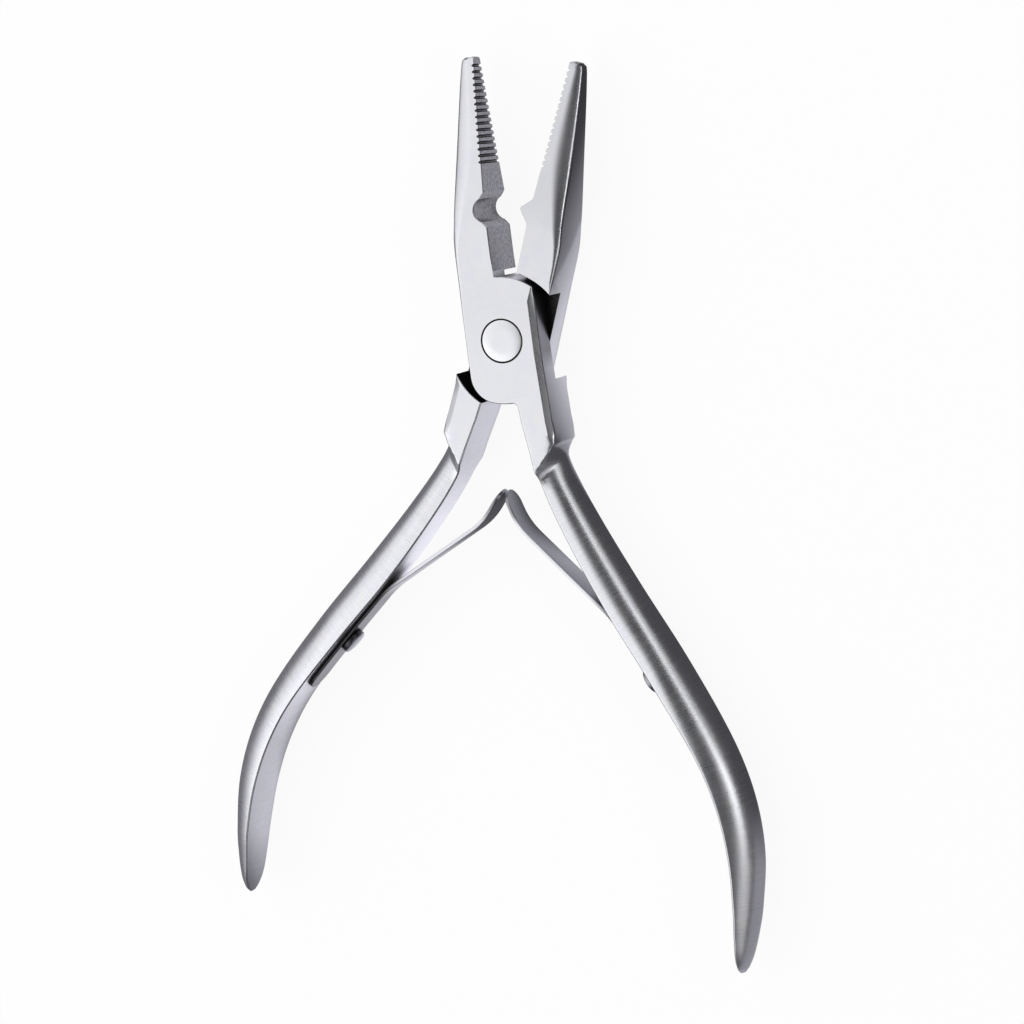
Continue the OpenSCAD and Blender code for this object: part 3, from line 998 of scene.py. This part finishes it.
FRONT, REAR = front_place(), rear_place()
FORGED_CREASE = 20
for name, nested, up, place, body in (
    ("front_forging", True, 1, FRONT, "front"), ("rear_forging", False, -1, REAR, "rear"),
):
    half = forging(name, nested, up, place)
    add(name, half, forged, body, body + "_half", FORGED_CREASE)
add("pivot_rivet_disc", pivot_rivet("pivot_rivet_disc"), rivet_end, "front", "pivot_rivet")
for side, place, body, other in (("right", FRONT, "front", "rear"), ("left", REAR, "rear", "front")):
    name = side + "_leaf"
    spring = add(name, leaf(name, place), strip, None, side + "_spring")
    leave = face_at(LEAF_LEAVE_Y) - LEAF_OFF * face_out(LEAF_LEAVE_Y)
    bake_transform(spring)
    name = side + "_leaf_rivet"
    stud = spring_rivet(name, place, side == "left")
    add(name, stud, stud_steel, body, side + "_spring_rivet")


# Floor, lights and camera ---------------------------------------------------------------------

FLOOR_DOWN = 0.0002     # metres that the floor lies under the object
EDGE_SOFT = 0.0015      # metres over which an edge of the card fades, each way
CARD_RIGHT_SOFT = 0.0035
CARD_LEVEL = 1.05       # brightness of the card that the steel reflects
TIP_LEVEL = 0.26        # brightness of the paper beside the right handle's end
LEFT_LEVEL = 0.2        # brightness of the floor left of the card
RIGHT_LEVEL = 0.08      # and right of it
GAP_SHADOW = 0.88          # painted shadow: how much darker the floor is between the handles
# Stretches of Y over which the card changes, in metres, with its brightness before and after.
CARD_STEPS = ((-0.072, -0.064, 0.62, 1.0), (-0.032, -0.022, 1.0, 0.68), (-0.097, -0.086, 0.25, 1.0))


def floor():
    """Pale paper to the camera; to reflections, a lit card of limited extent on a darker floor."""
    half = 3.0
    made = bpy.data.meshes.new("floor")
    corners = [(-half, -half, 0), (half, -half, 0), (half, half, 0), (-half, half, 0)]
    made.from_pydata(corners, [], [(0, 1, 2, 3)])
    obj = bpy.data.objects.new("floor", made)
    bpy.context.scene.collection.objects.link(obj)
    obj.location.z = -FLOOR_DOWN
    n = Nodes("floor_paper")
    seen = n.add("ShaderNodeLightPath").outputs["Is Camera Ray"]
    paper = n.add("ShaderNodeBsdfDiffuse", {"Color": (0.82, 0.82, 0.83, 1)}).outputs[0]
    glow = n.add("ShaderNodeEmission", {"Color": (1, 1, 1, 1), "Strength": 1.08}).outputs[0]
    thin = n.add("ShaderNodeMixShader", {0: 0.85, 1: paper, 2: glow}).outputs[0]
    at = n.add("ShaderNodeTexCoord").outputs["Object"]
    x = n.add("ShaderNodeSeparateXYZ", {0: at}).outputs["X"]
    y = n.add("ShaderNodeSeparateXYZ", {0: at}).outputs["Y"]

    def line(slope, start):
        """X of a straight edge that is at start where Y is 0."""
        return n.add("ShaderNodeMath", {0: y, 1: slope, 2: start}, operation="MULTIPLY_ADD").outputs[0]

    def beyond(value, edge, soft=EDGE_SOFT):
        """1 where the value is past the edge, and 0 before it."""
        return n.ranged(n.math("SUBTRACT", value, edge), -soft, soft, 0.0, 1.0)

    # The card's outline, and the painted shadow in the gap along its middle between the handles.
    left = n.math("MINIMUM", n.math("MAXIMUM", line(0.5, -0.0025), -0.042), -0.002)
    left = n.math("MINIMUM", left, line(-0.2, -0.001))
    palm = n.math("MINIMUM", line(-0.72, -0.0095), line(-0.3, 0.016))
    right = n.math("MAXIMUM", n.math("MINIMUM", line(-0.155, 0.0128), 0.0105), palm)
    gap_left = n.math("SUBTRACT", 0.0065, palm)
    gap_right = n.math("SUBTRACT", palm, 0.0045)
    gap = n.math("MULTIPLY", beyond(x, gap_left), beyond(gap_right, x))
    lit = n.math("MULTIPLY", beyond(x, left), beyond(right, x, CARD_RIGHT_SOFT))
    lit = n.math("MULTIPLY", lit, n.math("SUBTRACT", 1.0, n.math("MULTIPLY", gap, GAP_SHADOW)))
    for low, high, before, after in CARD_STEPS:
        lit = n.math("MULTIPLY", lit, n.ranged(y, low, high, before, after))
    tip = n.math("MULTIPLY", beyond(x, 0.03, 0.004), beyond(-0.074, y, 0.006))
    lit = n.math("ADD", n.math("MULTIPLY", lit, CARD_LEVEL), n.math("MULTIPLY", tip, TIP_LEVEL))
    past_left = n.math("SUBTRACT", x, left)
    lit = n.math("ADD", lit, n.ranged(past_left, -EDGE_SOFT, EDGE_SOFT, LEFT_LEVEL, RIGHT_LEVEL))
    card = n.add("ShaderNodeEmission", {"Color": (0.93, 0.92, 1, 1), "Strength": lit}).outputs[0]
    both = n.add("ShaderNodeMixShader", {0: seen, 1: card, 2: thin}).outputs[0]
    n.link(both, n.add("ShaderNodeOutputMaterial").inputs["Surface"])
    made.materials.append(n.material)


def softbox(name, at, size, radiance, towards=(0, 0, 0)):
    """A rectangular light of a given brightness."""
    data = bpy.data.lights.new(name, "AREA")
    data.shape = "RECTANGLE"
    data.size, data.size_y = size
    data.energy = radiance * math.pi * size[0] * size[1]
    obj = bpy.data.objects.new(name, data)
    bpy.context.scene.collection.objects.link(obj)
    obj.location = at
    obj.rotation_mode = "QUATERNION"
    obj.rotation_quaternion = (Vector(towards) - Vector(at)).to_track_quat("-Z", "Y")


def world():
    """Even white light, and for reflections a sky that is brighter on the left."""
    made = bpy.data.worlds.new("studio")
    bpy.context.scene.world = made
    made.use_nodes = True
    tree = made.node_tree
    tree.nodes.clear()
    seen = tree.nodes.new("ShaderNodeLightPath")
    strength = tree.nodes.new("ShaderNodeMapRange")
    strength.inputs["To Max"].default_value = 1.0
    way = tree.nodes.new("ShaderNodeTexCoord")
    parts = tree.nodes.new("ShaderNodeSeparateXYZ")
    left_to_right = tree.nodes.new("ShaderNodeMapRange")
    for socket, value in (("From Min", -0.6), ("From Max", -0.1), ("To Min", 0.4), ("To Max", 0.07)):
        left_to_right.inputs[socket].default_value = value
    tree.links.new(way.outputs["Generated"], parts.inputs[0])
    tree.links.new(parts.outputs["X"], left_to_right.inputs[0])
    tree.links.new(left_to_right.outputs[0], strength.inputs["To Min"])
    sky = tree.nodes.new("ShaderNodeBackground")
    sky.inputs[0].default_value = (0.97, 0.97, 1.0, 1)
    out = tree.nodes.new("ShaderNodeOutputWorld")
    tree.links.new(seen.outputs["Is Camera Ray"], strength.inputs[0])
    tree.links.new(strength.outputs[0], sky.inputs[1])
    tree.links.new(sky.outputs[0], out.inputs[0])


def camera():
    """Camera at the photo's angle, found from the object's outline."""
    azimuth, elevation, roll = math.radians(116.680), math.radians(66.465), math.radians(-112.442)
    target, distance = Vector((2.5606, -26.2033, 8.8778)) * MM, 0.434125
    back = Vector((
        math.sin(azimuth) * math.cos(elevation), -math.cos(azimuth) * math.cos(elevation), math.sin(elevation),
    ))
    level = Vector((math.cos(azimuth), math.sin(azimuth), 0))
    right = math.cos(roll) * level + math.sin(roll) * back.cross(level)
    axes = Matrix((right, back.cross(right), back)).transposed()
    data = bpy.data.cameras.new("camera")
    data.lens, data.sensor_width = 99.652, 36
    data.clip_start, data.clip_end = 0.01, 20
    data.dof.use_dof = False
    obj = bpy.data.objects.new("camera", data)
    bpy.context.scene.collection.objects.link(obj)
    obj.matrix_world = Matrix.Translation(target + back * distance) @ axes.to_4x4()
    bpy.context.scene.camera = obj


floor()
# Ceiling panels a metre up: left, right, near and far edge, and brightness.
for i, (left, right, near, far, radiance) in enumerate((
    (-0.14, -0.02, -1.1, 0.9, 0.3), (-0.95, -0.14, -0.19, 0.9, 0.74), (-2.2, -0.14, -1.1, -0.19, 1.05),
    (-2.2, -0.95, -0.19, 0.9, 0.6), (-4.5, -2.2, -1.1, 0.9, 0.45), (-3.0, 2.5, 0.9, 3.0, 0.55),
)):
    middle = Vector(((left + right) / 2, (near + far) / 2, 1.0))
    softbox("panel_" + str(i), middle, (right - left, far - near), radiance, middle - Vector((0, 0, 1)))
# Lights at the right that draw the bright stripes along the handles and the bevel.
softbox("stripe", (0.80, 0.02, 0.60), (0.4, 0.32), 1.25)
softbox("stripe_long", (0.73, 0.27, 0.63), (0.3, 0.24), 0.6)
softbox("stripe_neck", (0.61, 0.49, 0.63), (0.28, 0.24), 1.1)
softbox("stripe_bend", (0.765, 0.15, 0.62), (0.26, 0.26), 0.9)
softbox("tip_fill", (0.756, -0.42, 0.50), (0.5, 0.6), 0.55)
world()
camera()
bpy.context.scene.view_settings.view_transform = "Standard"
